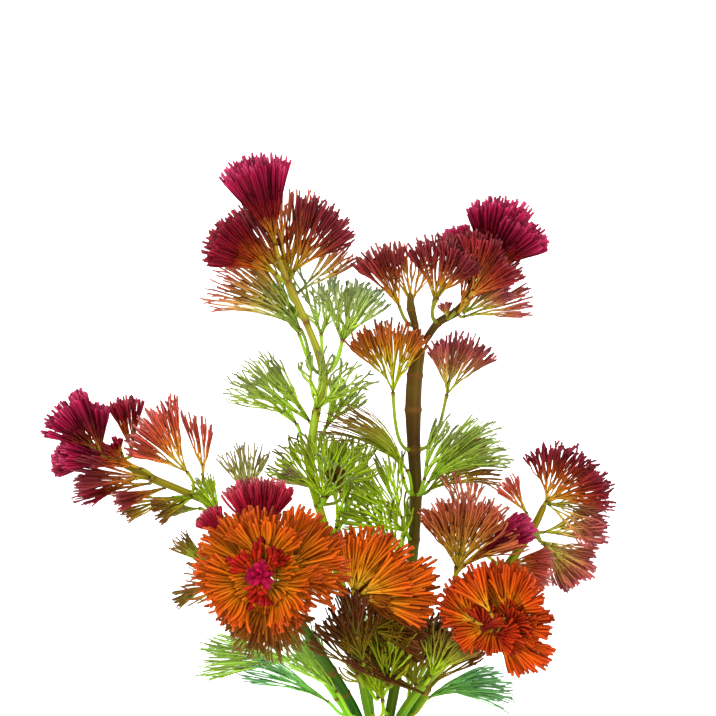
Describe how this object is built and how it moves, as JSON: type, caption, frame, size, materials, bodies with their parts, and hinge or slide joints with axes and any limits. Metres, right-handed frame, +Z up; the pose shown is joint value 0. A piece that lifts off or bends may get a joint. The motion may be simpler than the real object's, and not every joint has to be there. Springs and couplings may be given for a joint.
{
  "type": "forked fanwort",
  "caption": "Bunch of cut forked fanwort lying down: smooth stems with fan leaves of forked threads, in whorls and rosettes.",
  "frame": {"origin": "on the surface that the plant lies on, under the middle of its bounding box", "axes": "+Z up from the surface; +Y from the cut ends towards the far tips, the picture's up; +X the picture's right"},
  "size_m": [0.1924, 0.2065, 0.0723],
  "materials": {
    "crimson": "young crimson leaf tissue, soft satin",
    "maroon": "dark maroon leaf tissue, soft satin",
    "red_brown": "red-brown leaf tissue, soft satin",
    "orange": "bright orange leaf tissue, soft satin",
    "salmon": "pink-orange leaf tissue, soft satin",
    "olive": "olive to brown leaf tissue, soft satin",
    "green": "fresh green leaf tissue, soft satin",
    "teal": "blue-green leaf tissue, soft satin",
    "stem_green": "yellow-green stem with brown nodes, smooth and slightly glossy",
    "stem_brown": "brown-purple stem, smooth and slightly glossy"
  },
  "bodies": {
    "root": {"stem_upper_left": "stem_green", "stem_upper_right": "stem_brown", "fork_left": "stem_brown", "fork_right": "stem_brown", "stem_far_left": "stem_green", "stem_big_rosette": "stem_green", "stem_middle_rosette": "stem_green", "stem_far_right": "stem_green", "stem_small_rosette": "stem_green", "upper_left_leaf_top": "crimson", "upper_left_leaf_left": "maroon", "upper_left_leaf_right": "red_brown", "upper_left_leaf_low_left": "olive", "upper_left_leaf_under": "green", "upper_left_leaf_low_right": "green", "upper_left_leaf_lower": "green", "upper_left_leaf_front": "green", "upper_left_leaf_base": "green", "upper_right_leaf_left": "maroon", "upper_right_leaf_centre": "maroon", "upper_right_leaf_orange": "orange", "upper_right_leaf_small": "red_brown", "upper_right_leaf_long": "maroon", "upper_right_leaf_arching": "olive", "upper_right_leaf_spray": "green", "upper_right_leaf_bright": "green", "upper_right_tip_leaf_top": "crimson", "upper_right_tip_leaf_right": "crimson", "upper_right_tip_leaf_left": "crimson", "upper_right_tip_leaf_front": "red_brown", "far_left_leaf_low": "maroon", "far_left_leaf_upright": "maroon", "far_left_leaf_red": "salmon", "far_left_tip_leaf_top": "crimson", "far_left_tip_leaf_low": "crimson", "big_rosette_leaf_pink": "crimson", "big_rosette_leaf_grey": "olive", "big_rosette_leaf_side": "olive", "middle_rosette_leaf_upper": "orange", "middle_rosette_leaf_right": "orange", "far_right_leaf_fan": "red_brown", "far_right_leaf_salmon": "salmon", "far_right_leaf_head": "red_brown", "far_right_leaf_side": "olive", "far_right_leaf_drooping": "maroon", "small_rosette_leaf_top": "orange", "small_rosette_leaf_left": "orange", "small_rosette_leaf_upper_left": "orange", "small_rosette_leaf_low_right": "orange", "low_leaf_left": "green", "low_leaf_right": "teal", "low_leaf_brown": "olive", "low_leaf_middle": "green", "big_rosette_outer_leaf_1": "orange", "big_rosette_outer_leaf_2": "orange", "big_rosette_outer_leaf_3": "orange", "big_rosette_inner_leaf_1": "orange", "big_rosette_inner_leaf_2": "orange", "big_rosette_inner_leaf_3": "orange", "big_rosette_bud": "crimson"}
  },
  "joints": []
}
